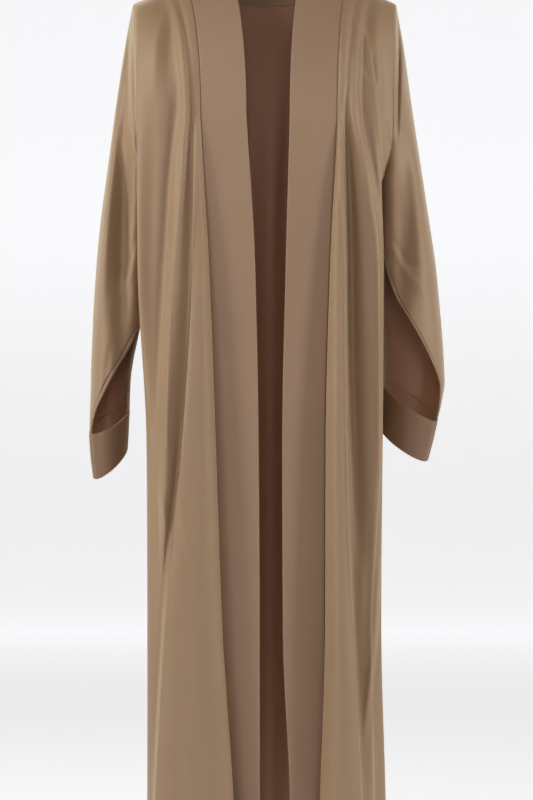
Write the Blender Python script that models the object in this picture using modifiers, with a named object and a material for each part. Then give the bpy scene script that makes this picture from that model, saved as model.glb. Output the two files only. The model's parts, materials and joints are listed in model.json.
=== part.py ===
"""Open-front abaya cloak with wide front bands and cut-out sleeves, hanging as it is worn.

Metres, +Z up, the front faces -Y and the wearer's left is +X. The origin is where the
shoulders carry the cloak: midway between the two neck ends of the shoulder seams.
"""
from collections import namedtuple

import bpy
import numpy as np

# Driving dimensions
MM = 0.001
CLOTH = 0.0015            # wall of a single panel
FOLDED_CLOTH = 0.0022     # wall of a band or cuff, which is folded double
GAP = 0.0004              # between two pieces at a seam
SEAM_SET_BACK = 0.0006    # from a seam's line to a piece's edge, whose rim leans a little
NECK_HALF = 0.066         # centre to the neckline, along the shoulder line
BAND_OUTER = 0.125        # centre to the band's outer edge, along the shoulder line
SHOULDER_SLOPE = 0.458    # fall of the shoulder line for each metre across
SHOULDER_TIP = 0.197
CHEST_Z = -0.235          # the cloth hangs straight from here down
UNDERARM_Z = -0.335
HEM_Z = -1.42
ARMHOLE_X = 0.190         # the armhole at its foremost point
ARMHOLE_REACH = 0.085     # and how far it stands forward and back there
SIDE_X = 0.165            # the side seam at the underarm
BACK_NECK_DEG = 27.0      # drop of the back neckline, as an angle on the shoulder dome
BACK_BAND_DEG = 43.0      # lower edge of the band at the centre back

# How finely the cloth is cut into facets
DOME_ROWS = 4
ARMHOLE_ROWS = 4
HANGING_ROWS = 10
PER_FOLD = 2
SAME_POINT = 0.00001      # points this close are one, at the top of the underarm seam

LEVELS = {"chest": CHEST_Z, "elbow": -0.457, "hip": -0.717, "knee": -0.987, "shin": -1.217, "hem": HEM_Z}

# A row for each fold line of a front, from the opening to the side seam. shoulder is its distance
# from the centre on the shoulder line, and the other columns are (across, forward) at that level, in mm.
Fold = namedtuple("Fold", "name shoulder chest elbow hip knee shin hem")
FRONT_LEFT = [
    Fold("inner", 66, (37, 130), (31, 134), (26, 132), (27, 130), (37, 128), (42, 126)),
    Fold("seam", 125, (105, 122), (94.5, 118), (88, 112), (87.5, 106), (93.5, 102), (98, 100)),
    Fold("lip", 130, (110, 123.5), (95, 126), (86, 128), (80.5, 130), (74, 132), (69, 133)),
    Fold("face", 134, (112.5, 124), (106, 137), (106, 144), (109, 149), (110, 152), (112, 155)),
    Fold("edge", 139, (115, 124), (116, 132), (126, 136), (134.5, 138), (142, 139), (148, 140)),
    Fold("tuck", 144, (117.5, 123), (114.5, 119), (122.5, 118), (130, 117), (137, 115), (142, 114)),
    Fold("valley", 150, (121, 120), (122, 108), (131.5, 104), (139, 101), (147, 100), (153, 98)),
    Fold("ridge", 158, (131.5, 122), (163, 111), (168, 98), (155, 98), (157, 88), (160, 85)),
    Fold("dip", 166, (143, 109), (165, 101), (168, 88), (154, 84), (163, 78), (168, 74)),
    Fold("crest", 176, (161, 112), (175, 92), (174, 80), (172, 66), (178, 62), (183, 60)),
    Fold("recess", 187, (177, 98), (168, 52), (165, 45), (168, 35), (174, 32), (180, 30)),
    Fold("side", 197, (190, 85), (165, 0), (163, 0), (166, 0), (172, 0), (177, 0)),
]
FRONT_RIGHT = [
    Fold("inner", 66, (26.5, 129), (13.5, 133), (8.5, 132), (7, 131), (7, 130), (6, 129)),
    Fold("seam", 125, (92.5, 122), (81, 119), (73.5, 114), (71, 110), (68, 106), (66, 104)),
    Fold("lip", 130, (97.5, 123.5), (82, 127), (72, 130), (62, 134), (46.5, 138), (36, 140)),
    Fold("face", 133.5, (100, 124), (92, 139), (92, 147), (97, 155), (98, 160), (98, 163)),
    Fold("edge", 137, (102.5, 124), (105, 135), (119.5, 141), (139.5, 143), (154.5, 143), (164, 142)),
    Fold("tuck", 141, (105, 123), (103.5, 120), (115.5, 120), (134.5, 118), (149, 116), (158, 114)),
    Fold("valley", 147, (109, 121), (111.5, 111), (125, 107), (143, 100), (157, 96), (165, 94)),
    Fold("ridge", 158, (120, 131), (135, 134), (146, 128), (150, 96), (163, 90), (171, 88)),
    Fold("dip", 173, (160, 117), (160, 117), (160, 108), (157, 88), (167, 82), (175, 79)),
    Fold("crest", 187, (187, 101), (187, 104), (173, 88), (172.5, 70), (173, 66), (176, 62)),
    Fold("recess", 193, (189, 93), (169, 55), (164, 45), (166, 35), (167, 32), (169, 30)),
    Fold("side", 197, (190, 85), (165, 0), (162, 0), (165, 0), (166, 0), (168, 0)),
]

# The sides of the back, mirrored, with columns as above.
BACK_SIDE = [
    Fold("side", 197, (190, 85), (165, 0), (162.5, 0), (165.5, 0), (169, 0), (172, 0)),
    Fold("recess", 193, (189, 92), (169, 55), (164, 45), (166, 35), (170, 32), (174, 30)),
    Fold("crest", 187, (187, 97), (184, 98), (173, 85), (171, 74), (175, 72), (179, 72)),
]
# A row for each vertical fold of the back, from the wearer's right to left. across is its place at
# the shoulder blades and at the hem, and depth is how far it stands out at the hem, in mm.
BackFold = namedtuple("BackFold", "across_blades across_hem depth")
BACK_FOLDS = [
    BackFold(-157, -158, -15),
    BackFold(-125.4, -131, 17),
    BackFold(-92, -99, -14),
    BackFold(-58, -66, 15),
    BackFold(-24, -31, -17),
    BackFold(10, 6, 16),
    BackFold(42, 38, -12),
    BackFold(74, 71, 19),
    BackFold(101, 104, -15),
    BackFold(125.4, 134, 14),
    BackFold(157, 159, -13),
]
BACK_DEPTH = {"chest": 118, "elbow": 116, "hip": 121, "knee": 125, "shin": 129, "hem": 132}

# A row for each section of a sleeve, from the shoulder to the cuff's lower edge, in mm. outer and
# inner are (across, height) of its two ends in front view, middle is how far its centre stands
# forward, reach is half its depth, and drop is how far its front hangs below its centre. edge is
# where the front is cut away, in degrees from the inner end round the back. A section whose edge is
# 345 or more is closed.
Section = namedtuple("Section", "name outer inner middle reach drop edge")
SLEEVE_RIGHT = [
    Section("armhole", (197, -60), (165, -335), 0, 85, 0, 360),
    Section("cap", (209, -125), (167, -343), 0, 83, 0, 357),
    Section("upper arm", (221, -205), (169, -354), 1, 79, 0, 353),
    Section("bicep", (234, -305), (171, -376), 4, 72, 0, 349),
    Section("above elbow", (244.5, -385), (173, -415), 8, 67, 0, 345),
    Section("elbow", (250.5, -450), (176, -463), 12, 63, 0, 345),
    Section("forearm", (255, -522), (182, -520), 17, 59, 2, 345),
    Section("slit head", (257, -574), (190, -562), 21, 56, 4, 322),
    Section("slit", (258, -606), (196, -590), 24, 54, 6, 290),
    Section("wrist", (258.5, -638), (200, -618), 27, 53, 8, 258),
    Section("slit foot", (259.5, -668), (201, -644), 30, 52, 10, 226),
    Section("cuff top", (260, -698), (201.5, -668), 33, 51, 12, 210),
    Section("cuff middle", (258, -733), (202.5, -696), 36, 51, 14, 210),
    Section("cuff foot", (254, -764), (204, -724), 39, 50, 15, 210),
]
SLEEVE_LEFT = [
    Section("armhole", (197, -60), (165, -335), 0, 85, 0, 360),
    Section("cap", (209, -130), (167, -343), 0, 83, 0, 357),
    Section("upper arm", (219.5, -208), (169, -354), 1, 79, 0, 353),
    Section("bicep", (234, -305), (171, -374), 3, 72, 0, 348),
    Section("above elbow", (246, -385), (172, -411), 5, 67, 0, 338),
    Section("elbow", (255.5, -450), (173, -450), 8, 63, 0, 325),
    Section("forearm", (261, -508), (174, -490), 12, 59, 2, 303),
    Section("slit head", (265.5, -562), (175, -524), 15, 57, 4, 265),
    Section("slit", (267.5, -596), (175.5, -551), 17, 55, 6, 238),
    Section("wrist", (268.5, -625), (176, -577), 19, 54, 8, 216),
    Section("slit foot", (264.5, -652), (176, -602), 21, 53, 10, 206),
    Section("cuff top", (257.5, -681), (176, -628), 23, 52, 12, 200),
    Section("cuff middle", (250.5, -712), (175, -662), 25, 51, 13, 200),
    Section("cuff foot", (243, -739), (172.5, -693), 27, 50, 14, 200),
]
SLEEVE_COLUMNS = 2 * (DOME_ROWS + ARMHOLE_ROWS)
CUFF_TOP = 11             # index of the section where the cuff starts
CLOSED_AT = 345           # angle at which a sleeve's front meets its back, below the elbow
CARRIED_SECTIONS = 4.0    # the armhole's own outline fades out over this many sections

CLOTH_COLOR = (0.33, 0.23, 0.15, 1.0)
BAND_COLOR = (0.29, 0.20, 0.135, 1.0)


def steady_slopes(at, values):
    """Slopes of a smooth curve through values that never swings past them."""
    step = np.diff(at)[:, None]
    rise = np.diff(values, axis=0) / step
    slopes = np.zeros_like(values)
    same_way = rise[:-1] * rise[1:] > 0
    with np.errstate(divide="ignore", invalid="ignore"):
        mean = 2 * rise[:-1] * rise[1:] / (rise[:-1] + rise[1:])
    slopes[1:-1] = np.where(same_way, mean, 0)
    slopes[0], slopes[-1] = rise[0], rise[-1]
    return slopes


def glide(at, values, where):
    """Values read at where, on a smooth curve through the rows of values at the places at."""
    at, values = np.asarray(at, float), np.asarray(values, float)
    slopes = steady_slopes(at, values)
    i = int(np.clip(np.searchsorted(at, where) - 1, 0, len(at) - 2))
    span = at[i + 1] - at[i]
    t = (where - at[i]) / span
    start, end = values[i], values[i + 1]
    return (
        start * (1 + 2 * t) * (1 - t) ** 2
        + end * t * t * (3 - 2 * t)
        + span * (slopes[i] * t * (1 - t) ** 2 - slopes[i + 1] * t * t * (1 - t))
    )


def at_level(fold, z):
    """(across, depth) of a fold line at height z, in metres."""
    falls = [-height for height in LEVELS.values()]
    cells = [getattr(fold, name) for name in LEVELS]
    return glide(falls, cells, -z) * MM


def smooth_line(knots, per_span):
    """Points on a rounded line through the knots, per_span to each stretch, ends included."""
    knots = np.asarray(knots, float)
    chord = np.maximum(np.linalg.norm(np.diff(knots, axis=0), axis=1), 1e-6) ** 0.5
    at = np.concatenate([[0], np.cumsum(chord)])
    rise = np.diff(knots, axis=0) / chord[:, None]
    slopes = np.empty_like(knots)
    share = (chord[:-1] / (chord[:-1] + chord[1:]))[:, None]
    slopes[1:-1] = rise[:-1] * (1 - share) + rise[1:] * share
    slopes[0], slopes[-1] = rise[0], rise[-1]
    points = []
    for i, span in enumerate(np.diff(at)):
        for t in np.arange(per_span) / per_span:
            points.append(
                knots[i] * (1 + 2 * t) * (1 - t) ** 2
                + knots[i + 1] * t * t * (3 - 2 * t)
                + span * (slopes[i] * t * (1 - t) ** 2 - slopes[i + 1] * t * t * (1 - t))
            )
    return np.array(points + [knots[-1]])


def shoulder_height(x):
    """Height of the shoulder line at x, rounded over the neck opening."""
    x = abs(x)
    if x >= NECK_HALF:
        return -(x - NECK_HALF) * SHOULDER_SLOPE
    return (NECK_HALF ** 2 - x ** 2) * SHOULDER_SLOPE / (2 * NECK_HALF)


def dome_point(shoulder_x, chest_x, chest_y, angle):
    """A point of the cloth between the shoulder line, at angle 0, and the chest, at a right angle."""
    return np.array([
        shoulder_x + (chest_x - shoulder_x) * np.sin(angle),
        chest_y * np.sin(angle),
        CHEST_Z + (shoulder_height(shoulder_x) - CHEST_Z) * np.cos(angle),
    ])


def body_rows():
    """(dome angle, None) for each row on the shoulders, then (None, height) for each that hangs."""
    rows = [(a, None) for a in np.linspace(0, np.pi / 2, DOME_ROWS + 1)]
    turns = np.linspace(0, np.pi / 2, ARMHOLE_ROWS + 1)[1:]
    rows += [(None, CHEST_Z + (UNDERARM_Z - CHEST_Z) * np.sin(a)) for a in turns]
    return rows + [(None, z) for z in np.linspace(UNDERARM_Z, HEM_Z, HANGING_ROWS + 1)[1:]]


def side_edge(fold, z):
    """(across, depth) of the outer edge of a front or back: the armhole, then the side seam."""
    if z <= UNDERARM_Z:
        below = at_level(fold, min(z, LEVELS["elbow"]))
        return np.array([below[0], 0])
    share = (CHEST_Z - z) / (CHEST_Z - UNDERARM_Z)
    round_part = np.sqrt(max(0.0, 1 - share ** 2))
    return np.array([SIDE_X + (ARMHOLE_X - SIDE_X) * round_part, ARMHOLE_REACH * round_part])


def fold_point(fold, row, side, front):
    """Where a fold line crosses a row. side is -1 or 1 for the wearer's right or left, front -1 or 1."""
    angle, z = row
    if angle is not None:
        x, y = np.array(fold.chest) * MM
        point = dome_point(fold.shoulder * MM, x, y, angle)
    else:
        x, y = side_edge(fold, z) if fold.name == "side" else at_level(fold, z)
        point = np.array([x, y, z])
    return point * [side, front, 1]


def front_rows(folds, side):
    """The grid of points of a front, band included, as one list of folds per row."""
    return [np.array([fold_point(f, row, side, -1) for f in folds]) for row in body_rows()]


def draw_in(line, start=0.0, end=0.0):
    """The line, of points or of rows, with its two ends drawn in along it by the given lengths."""
    line = line.copy()
    first, last = line[1] - line[0], line[-2] - line[-1]
    line[0] += first / np.linalg.norm(first, axis=-1, keepdims=True) * start
    line[-1] += last / np.linalg.norm(last, axis=-1, keepdims=True) * end
    return line


def front_grid(folds, side):
    """Points of a front panel, from its seam with the band to the side seam, row by row."""
    clear = FOLDED_CLOTH + 3 * GAP
    grid = []
    for knots in front_rows(folds, side):
        knots[1] += [side * clear, 0, 0]
        line = smooth_line(knots[1:], PER_FOLD)
        grid.append(draw_in(line, end=SEAM_SET_BACK))
    return keep_off_shoulder_seam(np.array(grid), -1)


def band_grid(folds, side):
    """Points of a front band, from the opening to its seam with the front panel, row by row."""
    grid = []
    for knots in front_rows(folds, side):
        inner, seam = knots[0], knots[1]
        line = np.linspace(inner, seam, 4)
        grid.append(line)
    return keep_off_shoulder_seam(np.array(grid), -1)


def keep_off_shoulder_seam(grid, front):
    """The grid with the part of its first row that lies on the shoulder line set back from it."""
    on_seam = np.abs(grid[0, :, 1]) < SEAM_SET_BACK
    grid[0, on_seam, 1] = front * SEAM_SET_BACK
    return grid


def back_knots(row):
    """The fold lines of the back where they cross a row, from the wearer's right to left."""
    angle, z = row
    height = CHEST_Z if angle is not None else z
    fall = (CHEST_Z - height) / (CHEST_Z - HEM_Z)
    falls = [-h for h in LEVELS.values()]
    middle = glide(falls, [[d] for d in BACK_DEPTH.values()], -height)[0] * MM
    crest_x, crest_y = at_level(BACK_SIDE[2], height)
    inside = []
    for fold in BACK_FOLDS:
        x = (fold.across_blades + (fold.across_hem - fold.across_blades) * fall) * MM
        round_share = 1 - abs(x / crest_x) ** 3
        out = fold.depth * MM * (0.12 + 0.88 * fall ** 0.75)
        y = crest_y + (middle - crest_y) * round_share + out
        if angle is not None:
            inside.append(dome_point(x, x, y, angle))
        else:
            inside.append(np.array([x, y, z]))
    right = [fold_point(f, row, -1, 1) for f in BACK_SIDE]
    left = [fold_point(f, row, 1, 1) for f in reversed(BACK_SIDE)]
    return np.array(right + inside + left)


def back_neck_angle(x, half, top_deg):
    """Dome angle of an oval neck edge at x, which meets the shoulder line at half."""
    return np.radians(top_deg) * np.sqrt(max(0.0, 1 - (x / half) ** 2))


def back_grid():
    """Points of the back, from the wearer's right side seam to the left one, row by row."""
    rows = body_rows()
    chest_line = smooth_line(back_knots((np.pi / 2, None)), PER_FOLD)
    shoulder_line = smooth_line(back_knots((0, None)), PER_FOLD)
    grid = []
    for angle, z in rows:
        if angle is None:
            line = smooth_line(back_knots((None, z)), PER_FOLD)
        else:
            share = angle / (np.pi / 2)
            line = []
            for top, chest in zip(shoulder_line, chest_line):
                start = back_neck_angle(top[0], BAND_OUTER + GAP, BACK_BAND_DEG)
                turn = start + (np.pi / 2 - start) * share
                line.append(dome_point(top[0], chest[0], chest[1], turn))
            line = np.array(line)
        grid.append(draw_in(line, SEAM_SET_BACK, SEAM_SET_BACK))
    grid = np.array(grid)
    meets_band = np.abs(shoulder_line[:, 0]) < BAND_OUTER + GAP
    grid[:, meets_band] = draw_in(grid[:, meets_band], start=SEAM_SET_BACK)
    return keep_off_shoulder_seam(grid, 1)


def neck_band_grid():
    """Points of the band round the back neck, a column for each of the back's that meets it."""
    chest_line = smooth_line(back_knots((np.pi / 2, None)), PER_FOLD)
    shoulder_line = smooth_line(back_knots((0, None)), PER_FOLD)
    grid = []
    for q in np.linspace(0, 1, 4):
        half = NECK_HALF + (BAND_OUTER - NECK_HALF) * q
        top_deg = BACK_NECK_DEG + (BACK_BAND_DEG - BACK_NECK_DEG) * q
        line = []
        for top, chest in zip(shoulder_line, chest_line):
            turn = top[0] / (BAND_OUTER + GAP)
            if abs(turn) > 1.001:
                continue
            turn = np.clip(turn, -1, 1)
            angle = np.radians(top_deg) * np.sqrt(1 - turn ** 2)
            line.append(dome_point(half * turn, half * turn, chest[1], angle))
        grid.append(np.array(line))
    grid = draw_in(np.array(grid), end=2 * SEAM_SET_BACK)
    grid[:, [0, -1], 1] = SEAM_SET_BACK
    return grid


def armhole_point(angle):
    """A point of the armhole, at an angle from the shoulder tip by way of the front."""
    down, forward = np.cos(angle), np.sin(angle)
    if down >= 0:
        tip = shoulder_height(SHOULDER_TIP)
        x = SHOULDER_TIP + (ARMHOLE_X - SHOULDER_TIP) * abs(forward)
        z = CHEST_Z + (tip - CHEST_Z) * down
    else:
        x = SIDE_X + (ARMHOLE_X - SIDE_X) * abs(forward)
        z = CHEST_Z + (UNDERARM_Z - CHEST_Z) * -down
    return np.array([x, -ARMHOLE_REACH * forward, z])


def section_point(values, angle):
    """A point of a plain oval section, at an angle from its outer end by way of the front."""
    outer_x, outer_z, inner_x, inner_z, middle, reach, drop, _ = values * MM
    centre = np.array([(outer_x + inner_x) / 2, -middle, (outer_z + inner_z) / 2])
    along = np.array([(outer_x - inner_x) / 2, 0, (outer_z - inner_z) / 2])
    forward = np.array([0, -reach, -drop])
    return centre + along * np.cos(angle) + forward * np.sin(angle)


def section_values(sections, at):
    """The sizes of a sleeve at a place between its sections, as one row of numbers."""
    table = [[*s.outer, *s.inner, s.middle, s.reach, s.drop, s.edge] for s in sections]
    return glide(range(len(sections)), table, at)


def sleeve_ring(sections, at, turns):
    """Points of a sleeve at a place between its sections, for angles from the inner seam round the back."""
    values = section_values(sections, at)
    first = section_values(sections, 0)
    carried = max(0.0, 1 - at / CARRIED_SECTIONS) ** 1.5
    ring = []
    for turn in turns:
        angle = turn - np.pi
        own = armhole_point(angle) - section_point(first, angle)
        ring.append(section_point(values, angle) + own * carried)
    return np.array(ring)


def sleeve_grid(sections, side):
    """Points of a sleeve, ring by ring, each from the inner seam round the back to the front edge."""
    grid = []
    for at in range(CUFF_TOP + 1):
        edge = sections[at].edge
        start = edge - 360 if at < CARRIED_SECTIONS else CLOSED_AT - 360
        turns = np.radians(np.linspace(start, edge, SLEEVE_COLUMNS + 1))
        grid.append(sleeve_ring(sections, at, turns))
    grid[0][:, 0] += CLOTH + GAP
    return draw_in(np.array(grid), end=SEAM_SET_BACK) * [side, 1, 1]


def cuff_grid(sections, side):
    """Points of a cuff, ring by ring. Each ring closes on itself."""
    turns = np.linspace(0, 2 * np.pi, SLEEVE_COLUMNS + 1)[:-1]
    places = np.linspace(CUFF_TOP, len(sections) - 1, 4)
    grid = np.array([sleeve_ring(sections, at, turns) for at in places])
    return draw_in(grid, start=SEAM_SET_BACK) * [side, 1, 1]


def cloth_material(name, color):
    material = bpy.data.materials.new(name)
    material.use_nodes = True
    shader = material.node_tree.nodes["Principled BSDF"]
    shader.inputs["Base Color"].default_value = color
    shader.inputs["Roughness"].default_value = 0.6
    shader.inputs["Metallic"].default_value = 0.0
    return material


def cloth_piece(name, grid, wall, material, collection, closed=False):
    """A cloth wall through a grid of points, with the given thickness half to each side."""
    rows, columns = grid.shape[:2]
    spans = columns if closed else columns - 1
    faces = []
    for r in range(rows - 1):
        for c in range(spans):
            here, beside = r * columns + c, r * columns + (c + 1) % columns
            faces.append((here, beside, beside + columns, here + columns))
    mesh = bpy.data.meshes.new(name)
    mesh.from_pydata(grid.reshape(-1, 3).tolist(), [], faces)
    mesh.shade_smooth()
    mesh.materials.append(material)
    piece = bpy.data.objects.new(name, mesh)
    collection.objects.link(piece)
    seam = piece.modifiers.new("Underarm seam", "WELD")
    seam.merge_threshold = SAME_POINT
    wall_modifier = piece.modifiers.new("Wall", "SOLIDIFY")
    wall_modifier.thickness = wall
    wall_modifier.offset = 0
    return piece


def build():
    for old in list(bpy.data.objects):
        bpy.data.objects.remove(old)
    cloak = bpy.data.collections.new("abaya_cloak")
    bpy.context.scene.collection.children.link(cloak)
    cloth = cloth_material("crepe", CLOTH_COLOR)
    folded = cloth_material("crepe_folded", BAND_COLOR)
    cloth_piece("back", back_grid(), CLOTH, cloth, cloak)
    cloth_piece("neck_band", neck_band_grid(), FOLDED_CLOTH, folded, cloak)
    sides = (("right", -1, FRONT_RIGHT, SLEEVE_RIGHT), ("left", 1, FRONT_LEFT, SLEEVE_LEFT))
    for name, side, folds, sections in sides:
        cloth_piece("front_" + name, front_grid(folds, side), CLOTH, cloth, cloak)
        cloth_piece("band_" + name, band_grid(folds, side), FOLDED_CLOTH, folded, cloak)
        cloth_piece("sleeve_" + name, sleeve_grid(sections, side), CLOTH, cloth, cloak)
        cuff = cuff_grid(sections, side)
        cloth_piece("cuff_" + name, cuff, FOLDED_CLOTH, folded, cloak, closed=True)


build()
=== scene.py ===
"""The looks of an open-front abaya cloak: its crepe, seams, folded edges and stitches.

Metres, +Z up, the front faces -Y. The cloth follows the solids' sections, cut more finely. Some folds
and creases go farther than theirs, to look as the photograph does.
"""
import json
from collections import namedtuple

import bpy
import numpy as np
from mathutils import Vector
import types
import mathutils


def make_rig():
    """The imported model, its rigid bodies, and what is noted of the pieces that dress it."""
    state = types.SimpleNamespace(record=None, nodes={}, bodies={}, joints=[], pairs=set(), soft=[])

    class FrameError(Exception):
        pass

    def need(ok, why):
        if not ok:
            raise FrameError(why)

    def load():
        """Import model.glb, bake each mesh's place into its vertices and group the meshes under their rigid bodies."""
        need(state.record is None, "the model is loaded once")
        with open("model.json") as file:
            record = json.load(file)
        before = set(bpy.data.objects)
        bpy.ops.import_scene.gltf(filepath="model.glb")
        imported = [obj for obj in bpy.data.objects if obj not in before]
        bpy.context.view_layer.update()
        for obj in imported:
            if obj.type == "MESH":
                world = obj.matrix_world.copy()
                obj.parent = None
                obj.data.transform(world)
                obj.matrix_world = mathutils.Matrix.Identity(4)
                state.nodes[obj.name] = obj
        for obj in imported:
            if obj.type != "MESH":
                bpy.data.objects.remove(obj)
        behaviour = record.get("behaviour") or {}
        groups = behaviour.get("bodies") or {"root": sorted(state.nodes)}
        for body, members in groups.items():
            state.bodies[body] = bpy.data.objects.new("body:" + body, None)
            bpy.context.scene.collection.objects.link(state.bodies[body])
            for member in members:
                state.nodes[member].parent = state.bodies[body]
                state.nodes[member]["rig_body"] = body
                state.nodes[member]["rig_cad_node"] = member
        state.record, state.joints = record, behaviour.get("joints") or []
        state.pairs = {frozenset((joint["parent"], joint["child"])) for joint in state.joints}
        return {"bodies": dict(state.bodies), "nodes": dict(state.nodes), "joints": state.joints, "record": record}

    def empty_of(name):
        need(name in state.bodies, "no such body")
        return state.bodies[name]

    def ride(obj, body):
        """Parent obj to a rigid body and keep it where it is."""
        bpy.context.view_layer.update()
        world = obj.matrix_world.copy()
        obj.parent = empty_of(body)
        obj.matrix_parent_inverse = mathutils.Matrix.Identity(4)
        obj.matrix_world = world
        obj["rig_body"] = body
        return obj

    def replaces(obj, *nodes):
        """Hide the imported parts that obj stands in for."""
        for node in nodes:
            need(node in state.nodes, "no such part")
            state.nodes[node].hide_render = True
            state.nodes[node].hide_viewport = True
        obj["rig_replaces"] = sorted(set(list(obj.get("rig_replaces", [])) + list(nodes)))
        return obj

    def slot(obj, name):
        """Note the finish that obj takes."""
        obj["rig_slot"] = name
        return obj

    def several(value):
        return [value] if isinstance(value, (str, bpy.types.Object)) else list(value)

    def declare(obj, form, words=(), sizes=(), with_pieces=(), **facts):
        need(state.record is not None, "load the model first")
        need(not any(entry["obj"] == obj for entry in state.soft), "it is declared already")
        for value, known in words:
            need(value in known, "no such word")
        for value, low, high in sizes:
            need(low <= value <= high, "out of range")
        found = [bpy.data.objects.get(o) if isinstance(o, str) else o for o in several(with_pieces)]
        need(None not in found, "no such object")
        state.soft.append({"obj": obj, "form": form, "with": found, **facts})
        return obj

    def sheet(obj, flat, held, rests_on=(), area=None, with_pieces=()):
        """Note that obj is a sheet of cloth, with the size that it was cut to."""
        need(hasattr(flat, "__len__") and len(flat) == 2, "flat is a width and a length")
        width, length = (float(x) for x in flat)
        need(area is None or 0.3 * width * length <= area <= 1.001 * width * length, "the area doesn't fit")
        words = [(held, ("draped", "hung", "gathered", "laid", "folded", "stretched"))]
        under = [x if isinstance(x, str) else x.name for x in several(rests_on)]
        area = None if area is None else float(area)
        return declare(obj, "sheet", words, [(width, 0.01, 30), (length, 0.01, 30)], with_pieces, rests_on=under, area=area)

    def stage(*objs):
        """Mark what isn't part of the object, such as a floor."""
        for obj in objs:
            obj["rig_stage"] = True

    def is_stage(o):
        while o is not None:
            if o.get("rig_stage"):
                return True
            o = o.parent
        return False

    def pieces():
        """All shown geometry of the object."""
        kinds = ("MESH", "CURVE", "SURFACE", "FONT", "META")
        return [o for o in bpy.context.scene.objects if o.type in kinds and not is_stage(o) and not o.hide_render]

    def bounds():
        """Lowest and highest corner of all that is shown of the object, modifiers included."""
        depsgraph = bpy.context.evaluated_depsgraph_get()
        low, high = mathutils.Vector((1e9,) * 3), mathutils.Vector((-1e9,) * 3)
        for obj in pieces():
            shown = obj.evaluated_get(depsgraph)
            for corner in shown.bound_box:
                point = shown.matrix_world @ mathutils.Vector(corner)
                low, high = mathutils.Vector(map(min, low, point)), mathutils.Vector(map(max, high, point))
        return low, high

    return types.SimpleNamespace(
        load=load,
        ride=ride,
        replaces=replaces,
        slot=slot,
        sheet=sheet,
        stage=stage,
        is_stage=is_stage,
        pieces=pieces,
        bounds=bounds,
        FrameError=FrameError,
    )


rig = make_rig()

# Driving dimensions, as in the solids: the neck, the shoulders, the armholes and the sides
MM = 0.001
NECK_HALF = 0.066
BAND_OUTER = 0.125
SHOULDER_SLOPE = 0.458
SHOULDER_TIP = 0.197
CHEST_Z = -0.235
UNDERARM_Z = -0.335
HEM_Z = -1.42
ARMHOLE_X = 0.190
ARMHOLE_REACH = 0.085
SIDE_X = 0.165
BACK_NECK_DEG = 27.0
BACK_BAND_DEG = 43.0
CLOSED_AT = 345           # a section with its edge at this angle or past it is a closed tube, in degrees
CUFF_TOP = 11             # the section at which the cuff begins
CARRIED_SECTIONS = 4.0    # over how many sections the armhole's shape fades into the plain oval

# The real cloth
CREPE = 0.0008            # one layer
FOLDED = 0.0020           # a band or cuff, folded double
SEAM_DIP = 0.0010         # how far the cloth turns in at a seam
SEAM_REACH = 0.0016
SEAM_HOLD = 0.0035        # creases fade out this close to a seam
# Across the turned edge: how far back from the rim, in widths, and how far out of the cloth, in mm
ROLL_SHAPE = [
    (1.0, 0.5), (0.92, 1.1), (0.7, 1.6), (0.3, 1.6), (0.0, 1.3),
    (-0.1, 0.4), (-0.08, -0.4), (0.1, -0.9), (0.6, -0.9),
]
STITCH_LENGTH = 0.0026
STITCH_STEP = 0.0036
STITCH_WIDTH = 0.00045
# Along a stitch: the share of its length, and its girth there
STITCH_RINGS = ((0.0, 0.25), (0.12, 0.8), (0.5, 1.0), (0.88, 0.8), (1.0, 0.25))
STITCH_SIDES = 6
HEM_TURN = 0.030          # from the hem's stitches to the hem
ROLL_WALL = 0.0006        # the cloth of a turned edge
FOLD_ROUNDING = 0.0007    # how far the edges of a folded band or cuff are rounded
CUFF_SEAM_DEPTH = 0.0016
GROOVE_REACH = 0.0015
DYE_FLECK = 0.03          # how far the dye varies, as a share of its colour
CREASE_ENDS = 0.7         # below 1, a crease keeps its height for longer before it fades at its ends
FIRST_SECTION = 0.075     # taken as the length of a sleeve's first section, to place its first rows
# The first row of each cut-out, the width of its turned edge, how far that stands out, and the groove
CutEdge = namedtuple("CutEdge", "row width lift groove")
CUT_EDGES = {"right": CutEdge(58, 0.0060, 1.0, 0.0030), "left": CutEdge(36, 0.0036, 0.75, 0.0012)}

LEVELS = {"chest": CHEST_Z, "elbow": -0.457, "hip": -0.717, "knee": -0.987, "shin": -1.217, "hem": HEM_Z}

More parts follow.
